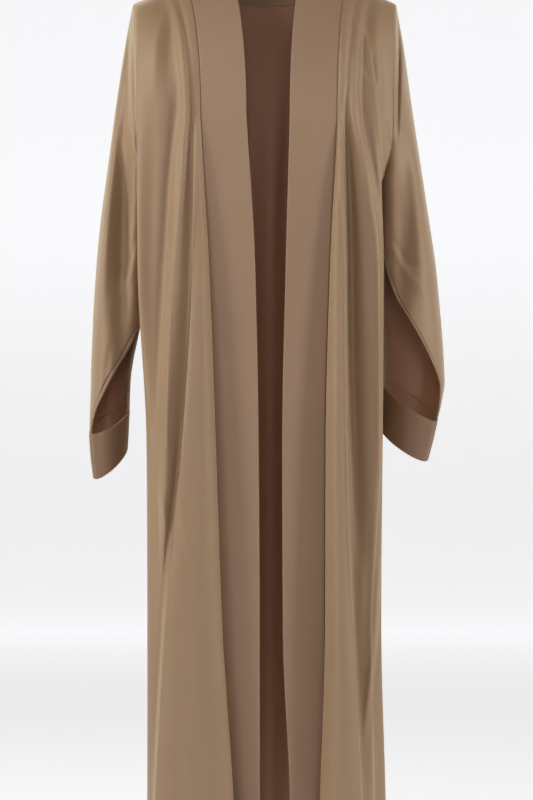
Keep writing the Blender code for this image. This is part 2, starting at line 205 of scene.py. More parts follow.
# A row for each fold line of a front, from the opening to the side seam. shoulder is its distance
# from the centre on the shoulder line, and the other columns are (across, forward) at that level, in mm.
Fold = namedtuple("Fold", "name shoulder chest elbow hip knee shin hem")
FRONT_LEFT = [
    Fold("inner", 66, (37, 130), (31, 134), (26, 132), (27, 130), (37, 128), (42, 126)),
    Fold("seam", 125, (105, 122), (94.5, 118), (88, 112), (87.5, 106), (93.5, 102), (98, 100)),
    Fold("gap", 127, (106.5, 121), (96, 112), (90.5, 102), (90, 96), (95, 97), (99, 98)),
    Fold("lip", 130, (110, 123.5), (97, 123), (90.5, 119), (89.5, 115), (82, 120), (73, 126)),
    Fold("face", 134, (112.5, 124), (106, 137), (106, 144), (109, 149), (110, 152), (112, 155)),
    Fold("edge", 139, (115, 124), (119, 131), (121, 136), (129, 138), (141, 139), (149, 140)),
    Fold("tuck", 144, (117, 123), (117, 119), (117, 118), (124, 117), (135.5, 115), (142, 114)),
    Fold("valley", 150, (121, 120), (123, 108), (125, 104), (132, 101), (145, 100), (153, 98)),
    Fold("ridge", 158, (131.5, 122), (165, 117), (168, 109), (157, 103), (158, 92), (160, 87)),
    Fold("dip", 166, (143, 109), (169, 103), (170, 95), (156, 86), (163, 80), (168, 76)),
    Fold("crest", 176, (161, 112), (175, 92), (174, 80), (172, 66), (178, 62), (183, 60)),
    Fold("recess", 187, (177, 98), (168, 52), (165, 45), (168, 35), (174, 32), (180, 30)),
    Fold("side", 197, (190, 85), (165, 0), (163, 0), (166, 0), (172, 0), (177, 0)),
]
FRONT_RIGHT = [
    Fold("inner", 66, (26.5, 129), (13.5, 133), (8.5, 132), (7, 131), (7, 130), (6, 129)),
    Fold("seam", 125, (92.5, 122), (81, 119), (73.5, 114), (71, 110), (68, 106), (66, 104)),
    Fold("lip", 130, (97.5, 123.5), (82, 127), (72, 130), (62, 134), (46.5, 138), (36, 140)),
    Fold("face", 133.5, (100, 124), (92, 139), (92, 147), (97, 155), (98, 160), (98, 163)),
    Fold("edge", 137, (102.5, 124), (105, 135), (119.5, 141), (144, 143), (157.5, 143), (166, 142)),
    Fold("tuck", 141, (105, 123), (103.5, 125), (115.5, 125), (139, 118), (152, 116), (160, 114)),
    Fold("valley", 147, (108, 122), (111, 126), (124, 122), (147, 107), (160, 98), (167, 96)),
    Fold("ridge", 156, (114, 129), (129, 133), (143, 130), (151, 98), (163, 90), (171, 88)),
    Fold("foot", 164, (127, 120), (143, 116), (156, 111), (155, 92), (165, 86), (173, 83)),
    Fold("dip", 174, (158, 118), (162, 113), (163, 105), (159, 87), (168, 80), (175.5, 77)),
    Fold("crest", 187, (187, 101), (185, 109), (173, 90), (172.5, 70), (173, 66), (176, 62)),
    Fold("recess", 193, (189, 93), (169, 55), (164, 45), (166, 35), (167, 32), (169, 30)),
    Fold("side", 197, (190, 85), (165, 0), (162, 0), (165, 0), (166, 0), (168, 0)),
]
BACK_SIDE = [
    Fold("side", 197, (190, 85), (165, 0), (162.5, 0), (165.5, 0), (169, 0), (172, 0)),
    Fold("recess", 193, (189, 92), (169, 55), (164, 45), (166, 35), (170, 32), (174, 30)),
    Fold("crest", 187, (187, 97), (184, 98), (173, 85), (171, 74), (175, 72), (179, 72)),
]
# A row for each vertical fold of the back, from the wearer's right to left, in mm.
BackFold = namedtuple("BackFold", "across_blades across_hem depth")
BACK_FOLDS = [
    BackFold(-157, -158, -15),
    BackFold(-125.4, -131, 17),
    BackFold(-92, -99, -14),
    BackFold(-58, -66, 15),
    BackFold(-24, -31, -17),
    BackFold(10, 6, 16),
    BackFold(42, 38, -12),
    BackFold(74, 71, 19),
    BackFold(101, 104, -15),
    BackFold(125.4, 134, 14),
    BackFold(157, 159, -13),
]
BACK_DEPTH = {"chest": 118, "elbow": 116, "hip": 121, "knee": 125, "shin": 129, "hem": 132}

# A row for each section of a sleeve, from the shoulder to the cuff's lower edge, in mm. outer and
# inner are (across, height) of its two ends in front view. edge is where the front is cut away, in
# degrees from the inner end round the back.
Section = namedtuple("Section", "name outer inner middle reach drop edge")
SLEEVE_RIGHT = [
    Section("armhole", (197, -60), (165, -335), 0, 85, 0, 360),
    Section("cap", (209, -125), (167, -343), 0, 83, 0, 357),
    Section("upper arm", (221, -205), (169, -354), 1, 79, 0, 353),
    Section("bicep", (234, -305), (171, -376), 4, 72, 0, 349),
    Section("above elbow", (244.5, -385), (173, -415), 8, 67, 0, 345),
    Section("elbow", (250.5, -450), (176, -463), 12, 63, 0, 345),
    Section("forearm", (255, -522), (182, -520), 17, 59, 2, 345),
    Section("slit head", (257, -574), (190, -562), 21, 56, 4, 322),
    Section("slit", (258, -606), (196, -590), 24, 54, 6, 290),
    Section("wrist", (258.5, -638), (200, -618), 27, 53, 8, 258),
    Section("slit foot", (259.5, -668), (201, -644), 30, 52, 10, 226),
    Section("cuff top", (260, -698), (201.5, -668), 33, 51, 12, 210),
    Section("cuff middle", (258, -733), (202.5, -696), 36, 47, 14, 210),
    Section("cuff foot", (254, -764), (204, -724), 38, 41, 15, 210),
]
SLEEVE_LEFT = [
    Section("armhole", (197, -60), (165, -335), 0, 85, 0, 360),
    Section("cap", (209, -130), (167, -343), 0, 83, 0, 357),
    Section("upper arm", (219.5, -208), (169, -354), 1, 79, 0, 353),
    Section("bicep", (234, -305), (171, -374), 3, 72, 0, 348),
    Section("above elbow", (246, -385), (172, -411), 5, 67, 0, 338),
    Section("elbow", (255.5, -450), (173, -450), 8, 63, 0, 325),
    Section("forearm", (261, -508), (174, -490), 12, 59, 2, 303),
    Section("slit head", (265.5, -562), (175, -524), 15, 57, 4, 265),
    Section("slit", (267.5, -596), (175.5, -551), 17, 55, 6, 238),
    Section("wrist", (268.5, -625), (176, -577), 19, 54, 8, 216),
    Section("slit foot", (264.5, -652), (176, -602), 21, 53, 10, 206),
    Section("cuff top", (257.5, -681), (176, -628), 23, 52, 12, 200),
    Section("cuff middle", (250.5, -712), (175, -662), 25, 47, 13, 200),
    Section("cuff foot", (243, -739), (172.5, -693), 26, 41, 14, 200),
]

# A row for each soft ridge on a piece, or trough where rise is below 0. rise and width are in mm. The
# path is (across, height) in mm, seen from in front, or from behind for the back.
Crease = namedtuple("Crease", "rise width path")
FRONT_RIGHT_CREASES = [
    Crease(2.2, 6, [(138, -56), (150, -90), (158, -120), (162, -164), (163, -215)]),
    Crease(-2.0, 9, [(128, -80), (142, -140), (144, -215)]),
    Crease(1.6, 5, [(131, -86), (127, -120), (122, -165), (117, -208), (115, -250)]),
    Crease(-4, 8, [
        (127, -190), (129, -223), (135, -282), (141, -337), (144, -393), (151, -504),
        (157, -622), (161, -741), (164, -820),
    ]),
    Crease(4.5, 4.5, [(124, -230), (130, -300), (133, -356), (138.5, -504), (143, -652), (145, -740)]),
    Crease(3.4, 2.4, [(98.5, -212), (99, -282), (101.5, -340), (104.5, -408), (107, -480), (113, -600)]),
    Crease(-4, 14, [(162, -170), (164, -300), (167, -430), (166, -660)]),
    Crease(3.6, 5, [(158, -740), (151, -800), (142, -850)]),
    Crease(3.4, 2.6, [(118, -690), (127, -790), (137, -878), (145.5, -987), (158, -1200), (167, -1420)]),
    Crease(-3.4, 3.4, [(124, -700), (133, -790), (144, -878), (152, -987), (164.5, -1200), (173, -1420)]),
    Crease(1.8, 4, [(126, -790), (110, -867), (98, -915)]),
    Crease(1.6, 4, [(122, -1120), (107, -1200), (100, -1262)]),
    Crease(2.2, 9, [(163, -900), (169, -1010), (171, -1160)]),
]
FRONT_LEFT_CREASES = [
    Crease(2.8, 2.6, [(136, -58), (142, -85), (150, -120), (157, -150), (161, -176), (163, -215)]),
    Crease(-1.6, 8, [(126, -75), (134, -125), (139, -160)]),
    Crease(1.9, 4, [(131, -146), (139, -164), (149, -180), (158, -196)]),
    Crease(-4, 2.2, [(159, -142), (161, -165), (163, -192)]),
    Crease(2.4, 2.4, [(166, -140), (168, -170), (167, -200)]),
    Crease(-2.4, 5, [(172, -130), (174, -170), (177, -230), (183, -300)]),
    Crease(4.6, 2.6, [
        (161, -190), (164, -220), (169, -267), (173, -305), (179, -349), (181, -420),
        (180, -500),
    ]),
    Crease(4.8, 2.8, [
        (132, -196), (137, -225), (143, -267), (150, -312), (158, -371), (165, -430),
        (168, -540),
    ]),
    Crease(-11, 8, [
        (117, -195), (122, -270), (126, -340), (129, -415), (130, -560), (134, -720),
        (141, -900),
    ]),
    Crease(-3.0, 5, [(150, -225), (160, -300), (170, -370), (175, -470)]),
    Crease(2.6, 5, [(176, -316), (188, -330)]),
    Crease(5, 7, [(170, -440), (171, -600), (170, -780)]),
    Crease(3.2, 3.6, [(175, -740), (171, -859), (165, -948), (162, -1007), (153, -1081), (144, -1160)]),
    Crease(-3.4, 4, [(181, -760), (178, -859), (172, -950), (169, -1010), (160, -1085), (152, -1180)]),
    Crease(3.6, 2.3, [
        (110, -200), (111, -282), (113, -356), (117, -445), (118, -563), (119.5, -711),
        (124, -889), (134, -1066), (147, -1460),
    ]),
    Crease(-2.6, 8, [(155, -800), (153, -930), (149, -1040)]),
    Crease(1.6, 5, [(92, -1100), (101, -1190), (104, -1290)]),
]
SLEEVE_RIGHT_CREASES = [
    Crease(-11, 5, [(200, -20), (202, -80), (203, -140), (204, -200), (206, -270)]),
    Crease(6, 3, [(200, -100), (197, -170), (194, -235), (189, -285), (182, -320)]),
    Crease(-30, 14, [
        (203, -40), (206, -150), (207, -240), (207, -320), (210, -400), (212, -470),
        (212, -540), (210, -640),
    ]),
    Crease(8, 7, [(217, -150), (221, -220), (227, -300), (233, -380), (239, -470), (243, -560)]),
    Crease(-3.2, 4, [(184, -395), (200, -440), (222, -470), (244, -478)]),
    Crease(2.9, 5, [(186, -430), (208, -485), (238, -520)]),
    Crease(3.2, 8, [(232, -330), (238, -420), (243, -540)]),
    Crease(-2.5, 5, [(225, -560), (232, -600), (236, -660)]),
]
SLEEVE_LEFT_CREASES = [
    Crease(-14, 3, [(198.5, -20), (199.5, -80), (199.5, -140), (198, -200), (196, -270)]),
    Crease(-18, 16, [(202, -250), (204, -330), (207, -400), (207, -460), (204, -530)]),
    Crease(4.0, 6, [(214, -180), (218, -223), (223, -267), (232, -330), (238, -400)]),
    Crease(-3.2, 7, [(206, -260), (214, -340), (220, -430), (222, -520)]),
    Crease(2.9, 5, [(190, -420), (212, -466), (240, -492)]),
    Crease(-2.9, 4, [(183, -400), (204, -436), (232, -455), (248, -460)]),
    Crease(2.2, 7, [(246, -480), (251, -540), (252, -600)]),
]
SLEEVE_BACK_CREASES = [
    Crease(3.6, 4, [(202, -120), (201, -200), (198, -290)]),
    Crease(-4.7, 6, [(212, -210), (220, -320), (224, -430)]),
    Crease(3.6, 6, [(186, -400), (212, -452), (244, -470)]),
    Crease(-3.2, 5, [(180, -440), (208, -492), (246, -516)]),
    Crease(2.9, 8, [(236, -520), (240, -590), (238, -660)]),
]
BACK_CREASES = [
    Crease(5.8, 6, [(-150, -100), (-128, -190), (-112, -300), (-104, -420)]),
    Crease(-5.4, 7, [(-120, -110), (-100, -210), (-86, -330)]),
    Crease(5, 6, [(146, -96), (131, -180), (121, -280), (126, -400)]),
    Crease(-4.6, 6, [(166, -140), (150, -240), (146, -350)]),
    Crease(5, 8, [(-40, -200), (-34, -330), (-28, -480)]),
    Crease(-4.6, 8, [(36, -190), (30, -330), (24, -460)]),
    Crease(3.2, 4, [(-170, -330), (-158, -420), (-152, -560)]),
    Crease(3.2, 4, [(172, -320), (160, -430), (153, -600)]),
    Crease(2.2, 5, [(-120, -760), (-100, -840), (-92, -930)]),
    Crease(2.2, 5, [(118, -1000), (98, -1080), (88, -1170)]),
]

# How finely the cloth is cut
DOME_STEPS = 44
ARMHOLE_STEPS = 20
HANGING_STEPS = 120
FOLD_STEPS = 16
BACK_STEPS = 11
BAND_STEPS = 14
SLEEVE_COLUMNS = 72
SECTION_STEPS = 9
CUFF_STEPS = 14
SEAM_STEPS = (0.0, 0.0007, 0.0015, 0.0026, 0.0042)
EDGE_TURNS = (0.0, 1.5, 3.0, 4.2, 5.2, 6.0, 6.7, 7.4, 8.2, 9.2, 10.5, 12.5)


def steady_slopes(at, values):
    """Slopes of a smooth curve through values that never swings past them."""
    step = np.diff(at)[:, None]
    rise = np.diff(values, axis=0) / step
    slopes = np.zeros_like(values)
    same_way = rise[:-1] * rise[1:] > 0
    with np.errstate(divide="ignore", invalid="ignore"):
        mean = 2 * rise[:-1] * rise[1:] / (rise[:-1] + rise[1:])
    slopes[1:-1] = np.where(same_way, mean, 0)
    slopes[0], slopes[-1] = rise[0], rise[-1]
    return slopes


def bend(start, end, start_slope, end_slope, span, t):
    """A point of the curve between start and end, at share t of the span."""
    return (
        start * (1 + 2 * t) * (1 - t) ** 2
        + end * t * t * (3 - 2 * t)
        + span * (start_slope * t * (1 - t) ** 2 - end_slope * t * t * (1 - t))
    )


def glide(at, values, where):
    """Values read at where, on a smooth curve through the rows of values at the places at."""
    at, values = np.asarray(at, float), np.asarray(values, float)
    slopes = steady_slopes(at, values)
    i = int(np.clip(np.searchsorted(at, where) - 1, 0, len(at) - 2))
    span = at[i + 1] - at[i]
    return bend(values[i], values[i + 1], slopes[i], slopes[i + 1], span, (where - at[i]) / span)


def at_level(fold, z):
    """(across, depth) of a fold line at height z, in metres."""
    falls = [-height for height in LEVELS.values()]
    cells = [getattr(fold, name) for name in LEVELS]
    return glide(falls, cells, -z) * MM


def smooth_line(knots, per_span):
    """Points on a rounded line through the knots, per_span to each stretch, ends included."""
    knots = np.asarray(knots, float)
    chord = np.maximum(np.linalg.norm(np.diff(knots, axis=0), axis=1), 1e-6) ** 0.5
    rise = np.diff(knots, axis=0) / chord[:, None]
    slopes = np.empty_like(knots)
    share = (chord[:-1] / (chord[:-1] + chord[1:]))[:, None]
    slopes[1:-1] = rise[:-1] * (1 - share) + rise[1:] * share
    slopes[0], slopes[-1] = rise[0], rise[-1]
    points = []
    for i, span in enumerate(chord):
        for t in np.arange(per_span) / per_span:
            points.append(bend(knots[i], knots[i + 1], slopes[i], slopes[i + 1], span, t))
    return np.array(points + [knots[-1]])


def shoulder_height(x):
    """Height of the shoulder line at x, rounded over the neck opening."""
    x = abs(x)
    if x >= NECK_HALF:
        return -(x - NECK_HALF) * SHOULDER_SLOPE
    return (NECK_HALF ** 2 - x ** 2) * SHOULDER_SLOPE / (2 * NECK_HALF)


def dome_point(shoulder_x, chest_x, chest_y, angle):
    """A point of the cloth between the shoulder line, at angle 0, and the chest, at a right angle."""
    return np.array([
        shoulder_x + (chest_x - shoulder_x) * np.sin(angle),
        chest_y * np.sin(angle),
        CHEST_Z + (shoulder_height(shoulder_x) - CHEST_Z) * np.cos(angle),
    ])


def body_rows():
    """(dome angle, None) for each row on the shoulders, then (None, height) for each that hangs."""
    seam_turns = [d / ARMHOLE_REACH for d in SEAM_STEPS]
    turns = np.linspace(0, np.pi / 2, DOME_STEPS + 1)
    rows = [(a, None) for a in seam_turns + [t for t in turns if t > 1.3 * seam_turns[-1]]]
    turns = np.linspace(0, np.pi / 2, ARMHOLE_STEPS + 1)[1:]
    rows += [(None, CHEST_Z + (UNDERARM_Z - CHEST_Z) * np.sin(a)) for a in turns]
    return rows + [(None, z) for z in np.linspace(UNDERARM_Z, HEM_Z, HANGING_STEPS + 1)[1:]]


def side_edge(fold, z):
    """(across, depth) of the outer edge of a front or back: the armhole, then the side seam."""
    if z <= UNDERARM_Z:
        below = at_level(fold, min(z, LEVELS["elbow"]))
        return np.array([below[0], 0])
    share = (CHEST_Z - z) / (CHEST_Z - UNDERARM_Z)
    round_part = np.sqrt(max(0.0, 1 - share ** 2))
    return np.array([SIDE_X + (ARMHOLE_X - SIDE_X) * round_part, ARMHOLE_REACH * round_part])


def fold_point(fold, row, side, front):
    """Where a fold line crosses a row. side is -1 or 1 for the wearer's right or left, front -1 or 1."""
    angle, z = row
    if angle is not None:
        x, y = np.array(fold.chest) * MM
        point = dome_point(fold.shoulder * MM, x, y, angle)
    else:
        x, y = side_edge(fold, z) if fold.name == "side" else at_level(fold, z)
        point = np.array([x, y, z])
    return point * [side, front, 1]


def seam_columns(line):
    """The line with extra points close to its ends, where it turns in at a seam."""
    gaps = np.linalg.norm(np.diff(line, axis=0), axis=1)
    at = np.concatenate([[0], np.cumsum(gaps)])
    near = np.array(SEAM_STEPS[1:])
    # The same number of points in every row: the line's own move away from the seams to make room.
    room = SEAM_STEPS[-1] * 1.5
    own = room + at * (at[-1] - 2 * room) / at[-1]
    places = np.sort(np.concatenate([[0.0], near, at[-1] - near, own, [at[-1]]]))
    return np.stack([np.interp(places, at, line[:, k]) for k in range(3)], axis=1)


def front_grid(folds, side):
    """Points of a front panel, from its seam with the band to the side seam, row by row."""
    grid = []
    for row in body_rows():
        knots = np.array([fold_point(f, row, side, -1) for f in folds[1:]])
        grid.append(seam_columns(smooth_line(knots, FOLD_STEPS)))
    return np.array(grid)


def band_grid(folds, side):
    """Points of a front band, from the opening to its seam with the front panel, row by row."""
    grid = []
    for row in body_rows():
        inner, seam = (fold_point(f, row, side, -1) for f in folds[:2])
        grid.append(np.linspace(inner, seam, BAND_STEPS + 1))
    return np.array(grid)


def back_knots(row):
    """The fold lines of the back where they cross a row, from the wearer's right to left."""
    angle, z = row
    height = CHEST_Z if angle is not None else z
    fall = (CHEST_Z - height) / (CHEST_Z - HEM_Z)
    falls = [-h for h in LEVELS.values()]
    middle = glide(falls, [[d] for d in BACK_DEPTH.values()], -height)[0] * MM
    crest_x, crest_y = at_level(BACK_SIDE[2], height)
    inside = []
    for fold in BACK_FOLDS:
        x = (fold.across_blades + (fold.across_hem - fold.across_blades) * fall) * MM
        round_share = 1 - abs(x / crest_x) ** 3
        out = fold.depth * MM * (0.12 + 0.88 * fall ** 0.75)
        y = crest_y + (middle - crest_y) * round_share + out
        if angle is not None:
            inside.append(dome_point(x, x, y, angle))
        else:
            inside.append(np.array([x, y, z]))
    right = [fold_point(f, row, -1, 1) for f in BACK_SIDE]
    left = [fold_point(f, row, 1, 1) for f in reversed(BACK_SIDE)]
    return np.array(right + inside + left)


def back_neck_angle(x, half, top_deg):
    """Dome angle of an oval neck edge at x, which meets the shoulder line at half."""
    return np.radians(top_deg) * np.sqrt(max(0.0, 1 - (x / half) ** 2))


def back_grid():
    """Points of the back, from the wearer's right side seam to the left one, row by row."""
    chest_line = smooth_line(back_knots((np.pi / 2, None)), BACK_STEPS)
    shoulder_line = smooth_line(back_knots((0, None)), BACK_STEPS)
    grid = []
    for angle, z in body_rows():
        if angle is None:
            line = smooth_line(back_knots((None, z)), BACK_STEPS)
        else:
            share = angle / (np.pi / 2)
            line = []
            for top, chest in zip(shoulder_line, chest_line):
                start = back_neck_angle(top[0], BAND_OUTER, BACK_BAND_DEG)
                turn = start + (np.pi / 2 - start) * share
                line.append(dome_point(top[0], chest[0], chest[1], turn))
            line = np.array(line)
        grid.append(seam_columns(line))
    return np.array(grid)


def neck_band_grid():
    """Points of the band round the back neck, from the neckline to its seam with the back."""
    chest_line = smooth_line(back_knots((np.pi / 2, None)), BACK_STEPS)
    across = chest_line[:, 0]
    order = np.argsort(across)
    grid = []
    for q in np.linspace(0, 1, BAND_STEPS + 1):
        half = NECK_HALF + (BAND_OUTER - NECK_HALF) * q
        top_deg = BACK_NECK_DEG + (BACK_BAND_DEG - BACK_NECK_DEG) * q
        line = []
        for turn in np.sin(np.linspace(-np.pi / 2, np.pi / 2, 61)):
            x = half * turn
            depth = np.interp(x, across[order], chest_line[order, 1])
            line.append(dome_point(x, x, depth, back_neck_angle(x, half, top_deg)))
        grid.append(np.array(line))
    return np.array(grid)


def armhole_point(angle):
    """A point of the armhole, at an angle from the shoulder tip by way of the front."""
    down, forward = np.cos(angle), np.sin(angle)
    if down >= 0:
        tip = shoulder_height(SHOULDER_TIP)
        x = SHOULDER_TIP + (ARMHOLE_X - SHOULDER_TIP) * abs(forward)
        z = CHEST_Z + (tip - CHEST_Z) * down
    else:
        x = SIDE_X + (ARMHOLE_X - SIDE_X) * abs(forward)
        z = CHEST_Z + (UNDERARM_Z - CHEST_Z) * -down
    return np.array([x, -ARMHOLE_REACH * forward, z])


def section_point(values, angle):
    """A point of a plain oval section, at an angle from its outer end by way of the front."""
    outer_x, outer_z, inner_x, inner_z, middle, reach, drop, _ = values * MM
    centre = np.array([(outer_x + inner_x) / 2, -middle, (outer_z + inner_z) / 2])
    along = np.array([(outer_x - inner_x) / 2, 0, (outer_z - inner_z) / 2])
    forward = np.array([0, -reach, -drop])
    return centre + along * np.cos(angle) + forward * np.sin(angle)


def section_values(sections, at):
    """The sizes of a sleeve at a place between its sections, as one row of numbers."""
    table = [[*s.outer, *s.inner, s.middle, s.reach, s.drop, s.edge] for s in sections]
    return glide(range(len(sections)), table, at)


def sleeve_ring(sections, at, turns):
    """Points of a sleeve at a place between its sections, for angles from the inner seam round the back."""
    values = section_values(sections, at)
    first = section_values(sections, 0)
    carried = max(0.0, 1 - at / CARRIED_SECTIONS) ** 1.5
    ring = []
    for turn in turns:
        angle = turn - np.pi
        own = armhole_point(angle) - section_point(first, angle)
        ring.append(section_point(values, angle) + own * carried)
    return np.array(ring)


def sleeve_grid(sections, side):
    """Points of a sleeve, ring by ring, each from the inner seam round the back to the front edge."""
    grid = []
    near_seam = [d / FIRST_SECTION for d in SEAM_STEPS]
    places = near_seam + [p for p in np.linspace(0, CUFF_TOP, CUFF_TOP * SECTION_STEPS + 1) if p > 0.09]
    for at in places:
        edge = section_values(sections, at)[7]
        start = max(edge - 360, CLOSED_AT - 360) if edge >= CLOSED_AT else CLOSED_AT - 360
        near = np.array(EDGE_TURNS)
        inner = np.linspace(start + near[-1] * 1.2, edge - near[-1] * 1.2, SLEEVE_COLUMNS)
        turns = np.radians([*(start + near), *inner, *(edge - near[::-1])])
        grid.append(sleeve_ring(sections, at, turns))
    return np.array(grid) * [side, 1, 1]


def cuff_grid(sections, side):
    """Points of a cuff, ring by ring. Each ring closes on itself."""
    seam = sections[-1].edge
    near = [seam + offset for offset in (-4, -2.8, -1.8, -1, -0.4, 0.4, 1, 1.8, 2.8, 4)]
    turns = np.radians(np.sort([*np.linspace(0, 360, SLEEVE_COLUMNS + 1)[:-1], *near]))
    places = np.linspace(CUFF_TOP, len(sections) - 1, CUFF_STEPS + 1)
    grid = np.array([sleeve_ring(sections, at, turns) for at in places])
    seam_line = np.array([sleeve_ring(sections, at, np.radians([seam])) for at in places])
    away = np.linalg.norm(grid - seam_line, axis=-1)
    grid = grid - facing_out(grid) * (CUFF_SEAM_DEPTH * np.exp(-(away / GROOVE_REACH) ** 2))[..., None]
    return grid * [side, 1, 1]


def normals_of(grid):
    """The unit normal at each point of a grid."""
    down = np.gradient(grid, axis=0)
    across = np.gradient(grid, axis=1)
    normal = np.cross(across, down)
    return normal / np.maximum(np.linalg.norm(normal, axis=-1, keepdims=True), 1e-12)


def facing_out(grid):
    """Normals that point away from the upright axis of the grid's own middle."""
    normal = normals_of(grid)
    middle = grid.mean(axis=(0, 1))
    if ((grid - middle) * normal).sum() < 0:
        normal = -normal
    return normal


def distance_along(grid, axis):
    """How far each point lies from the first along its row or column, and each line's whole length."""
    gaps = np.linalg.norm(np.diff(grid, axis=axis), axis=-1)
    start = np.zeros_like(np.take(gaps, [0], axis=axis))
    reach = np.concatenate([start, np.cumsum(gaps, axis=axis)], axis=axis)
    return reach, np.take(reach, [-1], axis=axis)


def turned_in(grid, normal, first_row=False, first_column=False, last_column=False, last_row=False):
    """The grid with the named edges dipping into their seams."""
    down, tall = distance_along(grid, 0)
    across, wide = distance_along(grid, 1)
    dip = np.zeros(grid.shape[:2])
    for wanted, away in (
        (first_row, down), (last_row, tall - down), (first_column, across), (last_column, wide - across)
    ):
        if wanted:
            dip = np.maximum(dip, np.exp(-(away / SEAM_REACH) ** 2))
    return grid - normal * (dip * SEAM_DIP)[..., None]


def creased(grid, creases, side, facing, held_sides=False):
    """The grid with its creases, on the half that faces the front, -1, or the back, 1. Seams stay put."""
    normal = facing_out(grid)
    turned = np.clip(normal[..., 1] * facing * 3 + 0.2, 0, 1)
    turned *= 1 - np.exp(-(distance_along(grid, 0)[0] / SEAM_HOLD) ** 2)
    if held_sides:
        across, wide = distance_along(grid, 1)
        turned *= 1 - np.exp(-(np.minimum(across, wide - across) / SEAM_HOLD) ** 2)
    seen = grid[..., [0, 2]]
    moved = np.zeros(grid.shape[:2])
    for crease in creases:
        line = smooth_line(np.array(crease.path, float) * MM, 6) * [side, 1]
        near = np.full(grid.shape[:2], np.inf)
        place = np.zeros(grid.shape[:2])
        for i, (a, b) in enumerate(zip(line[:-1], line[1:])):
            along = b - a
            t = np.clip(((seen - a) @ along) / (along @ along), 0, 1)
            away = np.linalg.norm(seen - a - t[..., None] * along, axis=-1)
            closer = away < near
            near = np.where(closer, away, near)
            place = np.where(closer, (i + t) / (len(line) - 1), place)
        fade = np.sin(np.pi * place) ** CREASE_ENDS
        moved += crease.rise * MM * fade * np.exp(-(near / (crease.width * MM)) ** 2)
    return grid + np.array([0, facing, 0]) * (moved * turned)[..., None]


def inward_from_edge(grid, column, distance):
    """Points at a distance from the first or last column of a grid, measured along its rows."""
    rows = grid if column == 0 else grid[:, ::-1]
    across, _ = distance_along(rows, 1)
    return np.array([
        [np.interp(distance, reach, row[:, k]) for k in range(3)] for reach, row in zip(across, rows)
    ])


def edge_groove(grid, edge):
    """The sleeve with a groove along each edge of its cut-out, where the turned edge is sewn down."""
    across, wide = distance_along(grid, 1)
    place = edge.width * 1.12
    depth = np.clip((np.arange(len(grid)) - edge.row) / 4, 0, 1) * edge.groove
    dip = sum(np.exp(-((away - place) / GROOVE_REACH) ** 2) for away in (across, wide - across))
    return grid - facing_out(grid) * (dip * depth[:, None])[..., None]


def rolled_edge(grid, column, edge):
    """The narrow turned edge of a cut-out: a strip round the first or last column of the sleeve."""
    out = facing_out(grid)
    edge_out = out[:, column]
    rim = grid[:, column]
    inside = inward_from_edge(grid, column, edge.width)
    away = (rim - inside) / np.linalg.norm(rim - inside, axis=1, keepdims=True)
    lines = []
    for back, lift in ROLL_SHAPE:
        if back >= 0:
            line = inward_from_edge(grid, column, back * edge.width)
        else:
            line = rim - away * back * edge.width
        lines.append(line + edge_out * lift * edge.lift * MM)
    return np.stack(lines, axis=1)


def cloth_piece(name, grid, wall, material, inside=None, closed=False, bevel=0.0):
    """A cloth wall through a grid of points, with its width and length in metres as its UV map."""
    rows, columns = grid.shape[:2]
    spans = columns if closed else columns - 1
    across, _ = distance_along(grid, 1)
    down, _ = distance_along(grid, 0)
    faces = []
    spots = []
    # A closed ring's last face gets a width of its own, so that its UVs don't run back to the start.
    across = np.concatenate([across, 2 * across[:, -1:] - across[:, -2:-1]], axis=1)
    for r in range(rows - 1):
        for c in range(spans):
            nearby = (c + 1) % columns
            here, below = r * columns, (r + 1) * columns
            faces.append((here + c, here + nearby, below + nearby, below + c))
            spots += [
                (across[r, c], down[r, c]), (across[r, c + 1], down[r, nearby]),
                (across[r + 1, c + 1], down[r + 1, nearby]), (across[r + 1, c], down[r + 1, c]),
            ]
    mesh = bpy.data.meshes.new(name)
    mesh.from_pydata(grid.reshape(-1, 3).tolist(), [], faces)
    layer = mesh.uv_layers.new(name="cut")
    layer.data.foreach_set("uv", np.array(spots, np.float32).ravel())
    mesh.shade_smooth()
    outward = (normals_of(grid) * facing_out(grid)).sum() > 0
    # The inner face of the wall takes inside, which in dress is a crepe lightened with painted light.
    for face_material in (material, inside or material)[:: 1 if outward else -1]:
        mesh.materials.append(face_material)
    piece = bpy.data.objects.new(name, mesh)
    bpy.context.scene.collection.objects.link(piece)
    joined = piece.modifiers.new("Underarm seam", "WELD")
    joined.merge_threshold = 0.00002
    thick = piece.modifiers.new("Wall", "SOLIDIFY")
    thick.thickness = wall
    thick.offset = 0
    thick.material_offset = 1
    if bevel:
        rounded = piece.modifiers.new("Folded edge", "BEVEL")
        rounded.width = bevel
        rounded.segments = 3
        rounded.limit_method = "ANGLE"
        rounded.angle_limit = np.radians(50)
    return piece


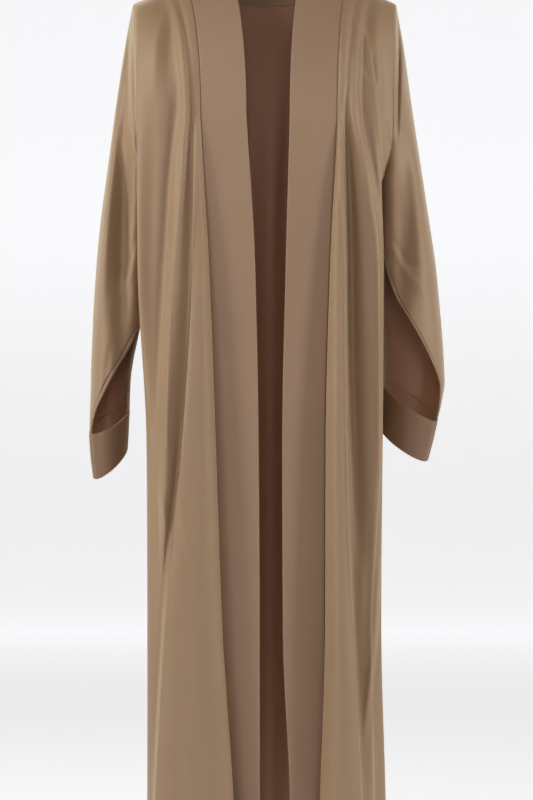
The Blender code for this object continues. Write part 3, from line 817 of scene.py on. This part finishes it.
def crepe_material(name, base):
    """Smooth crepe: a fine pebbled weave, slight unevenness of the dye, and a soft sheen."""
    material = bpy.data.materials.new(name)
    material.use_nodes = True
    nodes, links = material.node_tree.nodes, material.node_tree.links
    shader = nodes["Principled BSDF"]
    place = nodes.new("ShaderNodeTexCoord")

    def noise(scale, detail, source="UV"):
        node = nodes.new("ShaderNodeTexNoise")
        node.inputs["Scale"].default_value = scale
        node.inputs["Detail"].default_value = detail
        links.new(place.outputs[source], node.inputs["Vector"])
        return node.outputs["Fac"]

    def ramp(source, low, high):
        node = nodes.new("ShaderNodeValToRGB")
        node.color_ramp.elements[0].position = 0.3
        node.color_ramp.elements[1].position = 0.7
        node.color_ramp.elements[0].color = (*low, 1)
        node.color_ramp.elements[1].color = (*high, 1)
        links.new(source, node.inputs["Fac"])
        return node.outputs["Color"]

    def blended(first, second, share):
        node = nodes.new("ShaderNodeMix")
        node.data_type = "RGBA"
        node.blend_type = "MULTIPLY"
        node.inputs["Factor"].default_value = share
        links.new(first, node.inputs["A"])
        links.new(second, node.inputs["B"])
        return node.outputs["Result"]

    darker = tuple(c * (1 - DYE_FLECK) for c in base)
    lighter = tuple(c * (1 + DYE_FLECK) for c in base)
    dye = ramp(noise(7, 2, "Object"), darker, lighter)
    yarns = ramp(noise(900, 3), (0.84, 0.84, 0.84), (1, 1, 1))
    links.new(blended(dye, yarns, 0.6), shader.inputs["Base Color"])

    ribs = nodes.new("ShaderNodeTexWave")
    ribs.bands_direction = "DIAGONAL"
    ribs.inputs["Scale"].default_value = 320
    ribs.inputs["Distortion"].default_value = 3
    ribs.inputs["Detail"].default_value = 2
    links.new(place.outputs["UV"], ribs.inputs["Vector"])
    pebble = nodes.new("ShaderNodeMath")
    pebble.operation = "ADD"
    links.new(ribs.outputs["Fac"], pebble.inputs[0])
    links.new(noise(1500, 2), pebble.inputs[1])
    bump = nodes.new("ShaderNodeBump")
    bump.inputs["Strength"].default_value = 0.25
    bump.inputs["Distance"].default_value = 0.00012
    links.new(pebble.outputs["Value"], bump.inputs["Height"])
    links.new(bump.outputs["Normal"], shader.inputs["Normal"])

    rough = nodes.new("ShaderNodeMapRange")
    rough.inputs["To Min"].default_value = 0.47
    rough.inputs["To Max"].default_value = 0.55
    links.new(noise(40, 3), rough.inputs["Value"])
    links.new(rough.outputs["Result"], shader.inputs["Roughness"])
    shader.inputs["Subsurface Weight"].default_value = 0.3
    shader.inputs["Subsurface Radius"].default_value = (1.0, 0.78, 0.64)
    shader.inputs["Subsurface Scale"].default_value = 0.002
    shader.inputs["Sheen Weight"].default_value = 0.5
    shader.inputs["Sheen Roughness"].default_value = 0.35
    shader.inputs["Sheen Tint"].default_value = (1.0, 0.92, 0.6, 1)
    shader.inputs["Specular IOR Level"].default_value = 0.5
    return material


def thread_material():
    """Thread of the cloth's own colour, with a fine twist."""
    material = bpy.data.materials.new("thread")
    material.use_nodes = True
    nodes, links = material.node_tree.nodes, material.node_tree.links
    shader = nodes["Principled BSDF"]
    twist = nodes.new("ShaderNodeTexNoise")
    twist.inputs["Scale"].default_value = 1800
    tone = nodes.new("ShaderNodeValToRGB")
    tone.color_ramp.elements[0].color = (0.20, 0.13, 0.08, 1)
    tone.color_ramp.elements[1].color = (0.30, 0.21, 0.13, 1)
    links.new(twist.outputs["Fac"], tone.inputs["Fac"])
    links.new(tone.outputs["Color"], shader.inputs["Base Color"])
    shader.inputs["Roughness"].default_value = 0.45
    return material


def stitches(name, path, normal, material):
    """A row of stitches along a path: short rounded bars, each half sunk in the cloth."""
    gaps = np.linalg.norm(np.diff(path, axis=0), axis=1)
    at = np.concatenate([[0], np.cumsum(gaps)])
    vertices, faces = [], []
    sides, rings = STITCH_SIDES, STITCH_RINGS
    for start in np.arange(STITCH_STEP / 2, at[-1] - STITCH_STEP, STITCH_STEP):
        ends = [start, start + STITCH_LENGTH]
        a, b = (np.array([np.interp(e, at, path[:, k]) for k in range(3)]) for e in ends)
        out = np.array([np.interp(start, at, normal[:, k]) for k in range(3)])
        along = (b - a) / np.linalg.norm(b - a)
        out -= along * (out @ along)
        out /= np.linalg.norm(out)
        beside = np.cross(along, out)
        base = len(vertices)
        for t, size in rings:
            girth = STITCH_WIDTH / 2 * size
            centre = a + (b - a) * t + out * girth
            for k in range(sides):
                turn = 2 * np.pi * k / sides
                vertices.append(centre + (out * np.sin(turn) * 0.6 + beside * np.cos(turn)) * girth)
        for r in range(len(rings) - 1):
            for k in range(sides):
                one, two = base + r * sides + k, base + r * sides + (k + 1) % sides
                faces.append((one, two, two + sides, one + sides))
        faces.append(tuple(base + k for k in reversed(range(sides))))
        faces.append(tuple(base + (len(rings) - 1) * sides + k for k in range(sides)))
    mesh = bpy.data.meshes.new(name)
    mesh.from_pydata([tuple(v) for v in vertices], [], faces)
    mesh.shade_smooth()
    mesh.materials.append(material)
    piece = bpy.data.objects.new(name, mesh)
    bpy.context.scene.collection.objects.link(piece)
    return piece


def cloth_sheet(piece, grid, held, trims=()):
    """State the cut of a cloth piece: what shows of it, laid flat, all round on a tube."""
    wide = distance_along(grid, 1)[1]
    tall = distance_along(grid, 0)[1]
    area = 0.0
    for corner in (grid[:-1, :-1], grid[1:, 1:]):
        first = grid[1:, :-1] - corner
        second = grid[:-1, 1:] - corner
        area += np.linalg.norm(np.cross(first, second), axis=-1).sum() / 2
    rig.sheet(piece, flat=(wide.max(), tall.max()), held=held, area=area, with_pieces=list(trims))


def area_light(name, place, target, size, power, color):
    """A soft light at a place, turned to a target. size is in metres, power in watts."""
    data = bpy.data.lights.new(name, "AREA")
    data.shape = "RECTANGLE"
    data.size, data.size_y = size
    data.energy = power
    data.color = color
    light = bpy.data.objects.new(name, data)
    light.location = place
    aim = np.array(target) - np.array(place)
    light.rotation_euler = Vector(aim).to_track_quat("-Z", "Y").to_euler()
    bpy.context.scene.collection.objects.link(light)


def paper_material():
    """Pale paper that glows more the farther it lies behind the cloak, where the lights fade."""
    paper = bpy.data.materials.new("backdrop")
    paper.use_nodes = True
    nodes, links = paper.node_tree.nodes, paper.node_tree.links
    shader = nodes["Principled BSDF"]
    place = nodes.new("ShaderNodeTexCoord")
    axes = nodes.new("ShaderNodeSeparateXYZ")
    links.new(place.outputs["Object"], axes.inputs["Vector"])
    share = nodes.new("ShaderNodeMapRange")
    share.inputs["From Min"].default_value = 1.0
    share.inputs["From Max"].default_value = 7.0
    links.new(axes.outputs["Y"], share.inputs["Value"])
    glow = nodes.new("ShaderNodeValToRGB")
    glow.color_ramp.elements[0].color = (0.39, 0.39, 0.385, 1)
    glow.color_ramp.elements[1].color = (0.54, 0.54, 0.535, 1)
    links.new(share.outputs["Result"], glow.inputs["Fac"])
    links.new(glow.outputs["Color"], shader.inputs["Emission Color"])
    shader.inputs["Base Color"].default_value = (0.86, 0.9, 0.97, 1)
    shader.inputs["Roughness"].default_value = 0.9
    shader.inputs["Emission Strength"].default_value = 1.0
    return paper


def studio():
    """A pale floor that rises into a far pale wall, and soft light from both sides, front and back."""
    scene = bpy.context.scene
    scene.view_settings.view_transform = "Standard"
    floor_z, wall_y, radius, half = HEM_Z - 0.06, 8.5, 1.5, 14.0
    profile = [(-7.0, floor_z), (wall_y - radius, floor_z)]
    for turn in np.linspace(0, np.pi / 2, 13)[1:]:
        profile.append((wall_y - radius + radius * np.sin(turn), floor_z + radius * (1 - np.cos(turn))))
    profile.append((wall_y, 7.0))
    grid = np.array([[(x, y, z) for x in (-half, half)] for y, z in profile])
    faces = [(2 * r, 2 * r + 1, 2 * r + 3, 2 * r + 2) for r in range(len(profile) - 1)]
    mesh = bpy.data.meshes.new("backdrop")
    mesh.from_pydata(grid.reshape(-1, 3).tolist(), [], faces)
    mesh.shade_smooth()
    mesh.materials.append(paper_material())
    backdrop = bpy.data.objects.new("backdrop", mesh)
    scene.collection.objects.link(backdrop)
    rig.stage(backdrop)
    world = bpy.data.worlds.new("studio")
    world.use_nodes = True
    world.node_tree.nodes["Background"].inputs["Color"].default_value = (1, 0.82, 0.74, 1)
    world.node_tree.nodes["Background"].inputs["Strength"].default_value = 0.15
    scene.world = world
    middle = (0, 0, -0.6)
    area_light("key_softbox", (-1.35, -1.4, 0.8), (0, 0, -0.4), (0.6, 0.6), 12.5, (1, 0.97, 0.88))
    area_light("left_softbox", (-1.9, -0.7, 0.1), middle, (0.4, 1.9), 22, (1, 0.97, 0.88))
    area_light("right_softbox", (1.9, -0.7, 0.1), middle, (0.4, 1.9), 23, (1, 0.97, 0.88))
    area_light("back_softbox", (-0.7, 2.5, 1.4), middle, (1.4, 0.9), 20, (1, 0.97, 0.9))
    area_light("front_softbox", (0.05, -2.4, 0.4), (0, 0, -0.3), (0.5, 1.0), 9, (1, 0.97, 0.92))


def camera():
    """The photograph's view: level, far off, with 1.184 m of height in the picture."""
    height, distance, plane = 1.184, 5.0, -0.06
    data = bpy.data.cameras.new("camera")
    data.sensor_fit = "VERTICAL"
    data.sensor_height = 24
    data.lens = data.sensor_height * distance / height
    view = bpy.data.objects.new("camera", data)
    view.location = (0.003, plane - distance, -0.652)
    view.rotation_euler = (np.pi / 2, 0, 0)
    bpy.context.scene.collection.objects.link(view)
    bpy.context.scene.camera = view


def dress():
    """Every piece of the cloak."""
    crepe = crepe_material("crepe", (0.32, 0.209, 0.126))
    # The bands, neck band and turned edges take a slightly darker copy of the crepe: painted shade for the recessed
    # bands.
    folded = crepe_material("crepe_folded", (0.312, 0.2, 0.13))
    # The cuffs take a copy of the crepe painted far darker and redder: painted shade for cuffs that hang in shadow.
    painted_shade_cuff_crepe = crepe_material("crepe_cuffs", (0.172, 0.09, 0.047))
    # The inner faces take a lighter, redder copy of the crepe: painted light that brightens the shadowed inside of the
    # cloak.
    inside = crepe_material("crepe_inside_painted_light", (0.42, 0.245, 0.155))
    thread = thread_material()

    def place(piece, slot, *nodes):
        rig.ride(piece, "root")
        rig.slot(piece, slot)
        if nodes:
            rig.replaces(piece, *nodes)
        return piece

    def hem_stitches(name, grid):
        row = len(grid) - 1 - round(HEM_TURN / (UNDERARM_Z - HEM_Z) * HANGING_STEPS)
        out = facing_out(grid)[row]
        return place(stitches(name + "_hem_stitches", grid[row] + out * CREPE / 2, out, thread), "crepe")

    grid = creased(back_grid(), BACK_CREASES, 1, 1, held_sides=True)
    out = facing_out(grid)
    grid = turned_in(grid, out, first_row=True, first_column=True, last_column=True)
    back = place(cloth_piece("back_cloth", grid, CREPE, crepe, inside), "crepe", "back")
    cloth_sheet(back, grid, "hung", [hem_stitches("back", grid)])
    grid = neck_band_grid()
    grid = turned_in(grid, facing_out(grid), last_row=True)
    neck_band = cloth_piece("neck_band_cloth", grid, FOLDED, folded, bevel=FOLD_ROUNDING)
    place(neck_band, "crepe_folded", "neck_band")
    cloth_sheet(neck_band, grid, "folded")
    for name, side, folds, creases, sections, sleeve_creases in (
        ("right", -1, FRONT_RIGHT, FRONT_RIGHT_CREASES, SLEEVE_RIGHT, SLEEVE_RIGHT_CREASES),
        ("left", 1, FRONT_LEFT, FRONT_LEFT_CREASES, SLEEVE_LEFT, SLEEVE_LEFT_CREASES),
    ):
        grid = creased(front_grid(folds, side), creases, side, -1, held_sides=True)
        out = facing_out(grid)
        grid = turned_in(grid, out, first_row=True, first_column=True, last_column=True)
        front = cloth_piece(f"front_{name}_cloth", grid, CREPE, crepe, inside)
        place(front, "crepe", "front_" + name)
        cloth_sheet(front, grid, "hung", [hem_stitches("front_" + name, grid)])
        grid = band_grid(folds, side)
        band = cloth_piece(f"band_{name}_cloth", grid, FOLDED, folded, bevel=FOLD_ROUNDING)
        place(band, "crepe_folded", "band_" + name)
        cloth_sheet(band, grid, "hung")
        grid = creased(sleeve_grid(sections, side), sleeve_creases, side, -1)
        grid = creased(grid, SLEEVE_BACK_CREASES, side, 1)
        edge = CUT_EDGES[name]
        grid = edge_groove(grid, edge)
        out = facing_out(grid)
        grid = turned_in(grid, out, first_row=True)
        sleeve = cloth_piece(f"sleeve_{name}_cloth", grid, CREPE, crepe, inside)
        place(sleeve, "crepe", "sleeve_" + name)
        rows = grid[edge.row:]
        trims = []
        for column, label in ((-1, "front"), (0, "inner")):
            strip = rolled_edge(rows, column, edge)
            roll = cloth_piece(f"cut_edge_{name}_{label}", strip, ROLL_WALL, folded)
            trims.append(place(roll, "crepe_folded"))
            lift = facing_out(strip)[:, 2] * ROLL_WALL / 2
            path = strip[:, 1] * 0.25 + strip[:, 2] * 0.75 + lift
            seam = stitches(f"cut_stitches_{name}_{label}", path, lift, thread)
            trims.append(place(seam, "crepe_folded"))
        cloth_sheet(sleeve, grid, "hung", trims)
        grid = cuff_grid(sections, side)
        # The cuff's darker crepe is painted shade.
        cuff = cloth_piece(
            f"cuff_{name}_cloth", grid, FOLDED, painted_shade_cuff_crepe, inside, closed=True, bevel=FOLD_ROUNDING
        )
        place(cuff, "crepe_folded", "cuff_" + name)
        whole = np.concatenate([grid, grid[:, :1]], axis=1)
        out = facing_out(grid)[1]
        out = np.concatenate([out, out[:1]])
        seam = stitches(f"cuff_stitches_{name}", whole[1] + out * FOLDED / 2, out, thread)
        cloth_sheet(cuff, whole, "folded", [place(seam, "crepe_folded")])


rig.load()
cad_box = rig.bounds()
camera()
dress()
studio()
scene_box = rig.bounds()
with open("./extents.json", "w") as sizes:
    json.dump({"cad": [list(c) for c in cad_box], "scene": [list(c) for c in scene_box]}, sizes)
